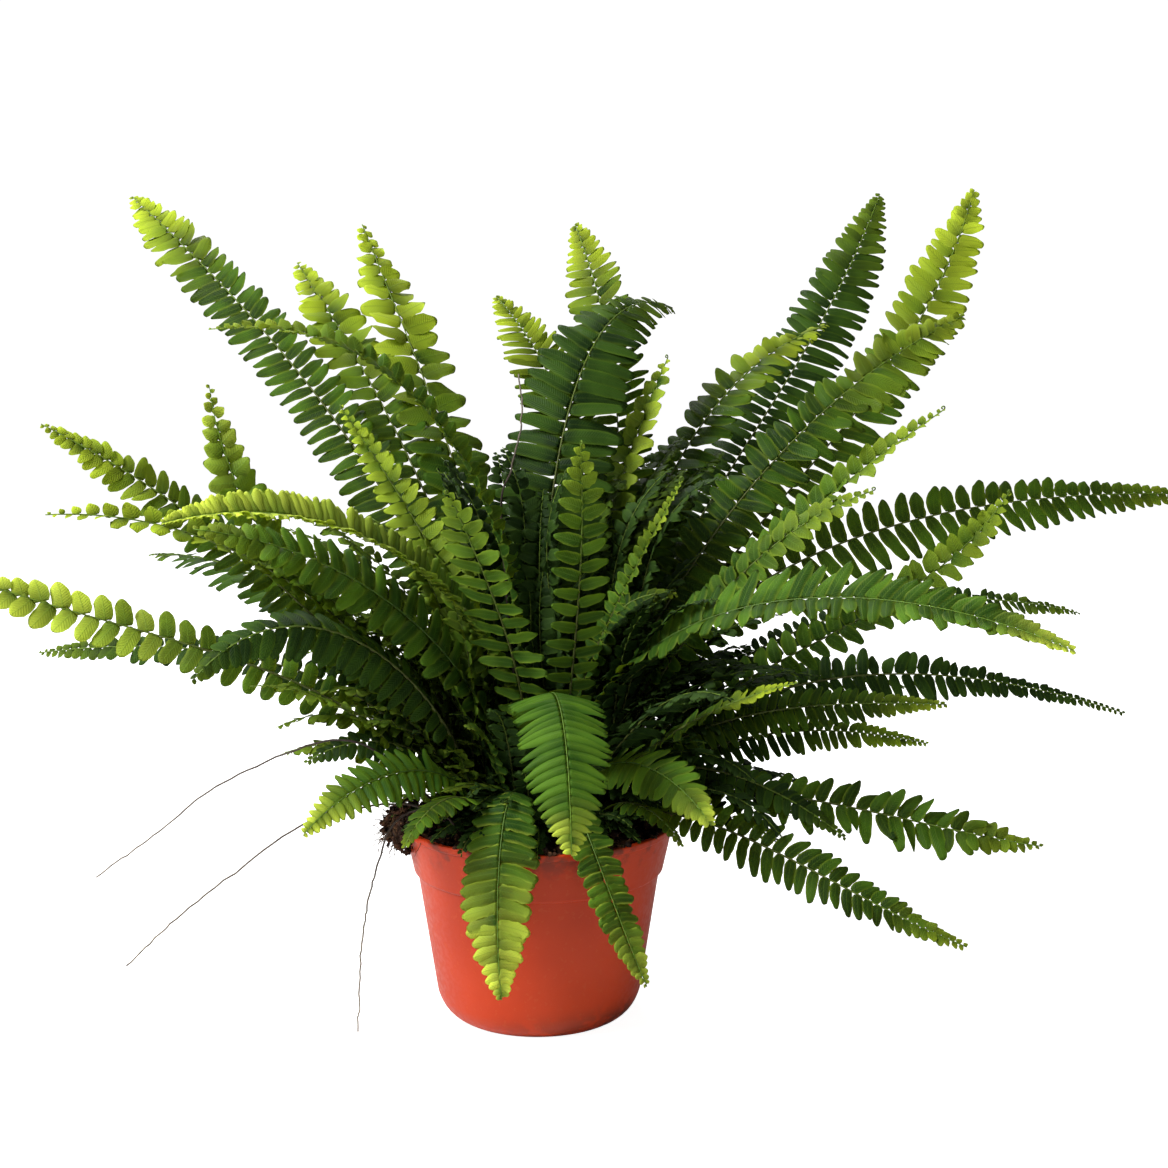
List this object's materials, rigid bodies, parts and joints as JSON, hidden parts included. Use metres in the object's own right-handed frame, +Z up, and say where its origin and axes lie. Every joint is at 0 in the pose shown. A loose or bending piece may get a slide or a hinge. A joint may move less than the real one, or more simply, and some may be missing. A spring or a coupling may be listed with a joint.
{
  "type": "potted fern",
  "caption": "Sword fern with arching feathery fronds and trailing runners, rooted in soil in a tapered plastic nursery pot with a rim band.",
  "frame": {"origin": "middle of the pot's flat resting face", "axes": "+Z up along the pot's axis, -Y towards the plant's front, +X to its right seen from the front"},
  "size_m": [0.5612, 0.3616, 0.3764],
  "materials": {
    "pot": "satin",
    "soil": "matte",
    "crown": "matte",
    "frond_mature": "satin",
    "frond_young": "satin",
    "runner": "matte"
  },
  "bodies": {
    "root": {"pot": "pot", "soil": "soil", "crown": "crown", "frond_01": "frond_mature", "frond_02": "frond_mature", "frond_03": "frond_mature", "frond_04": "frond_mature", "frond_05": "frond_young", "frond_06": "frond_young", "frond_07": "frond_mature", "frond_08": "frond_mature", "frond_09": "frond_young", "frond_10": "frond_mature", "frond_11": "frond_mature", "frond_12": "frond_mature", "frond_13": "frond_mature", "frond_14": "frond_mature", "frond_15": "frond_mature", "frond_16": "frond_mature", "frond_17": "frond_mature", "frond_18": "frond_mature", "frond_19": "frond_mature", "frond_20": "frond_mature", "frond_21": "frond_mature", "frond_22": "frond_mature", "frond_23": "frond_mature", "frond_24": "frond_mature", "frond_25": "frond_mature", "frond_26": "frond_mature", "frond_27": "frond_mature", "frond_28": "frond_mature", "frond_29": "frond_mature", "frond_30": "frond_young", "frond_31": "frond_young", "frond_32": "frond_young", "frond_33": "frond_mature", "frond_34": "frond_young", "frond_35": "frond_young", "frond_36": "frond_young", "frond_37": "frond_mature", "frond_38": "frond_young", "frond_39": "frond_mature", "frond_40": "frond_mature", "frond_41": "frond_mature", "frond_42": "frond_mature", "frond_43": "frond_mature", "frond_44": "frond_mature", "frond_45": "frond_mature", "frond_46": "frond_mature", "frond_47": "frond_mature", "frond_48": "frond_mature", "frond_49": "frond_mature", "frond_50": "frond_mature", "frond_51": "frond_mature", "frond_52": "frond_mature", "frond_53": "frond_mature", "runner_long": "runner", "runner_middle": "runner", "runner_hanging": "runner", "dry_stem": "runner"}
  },
  "joints": []
}
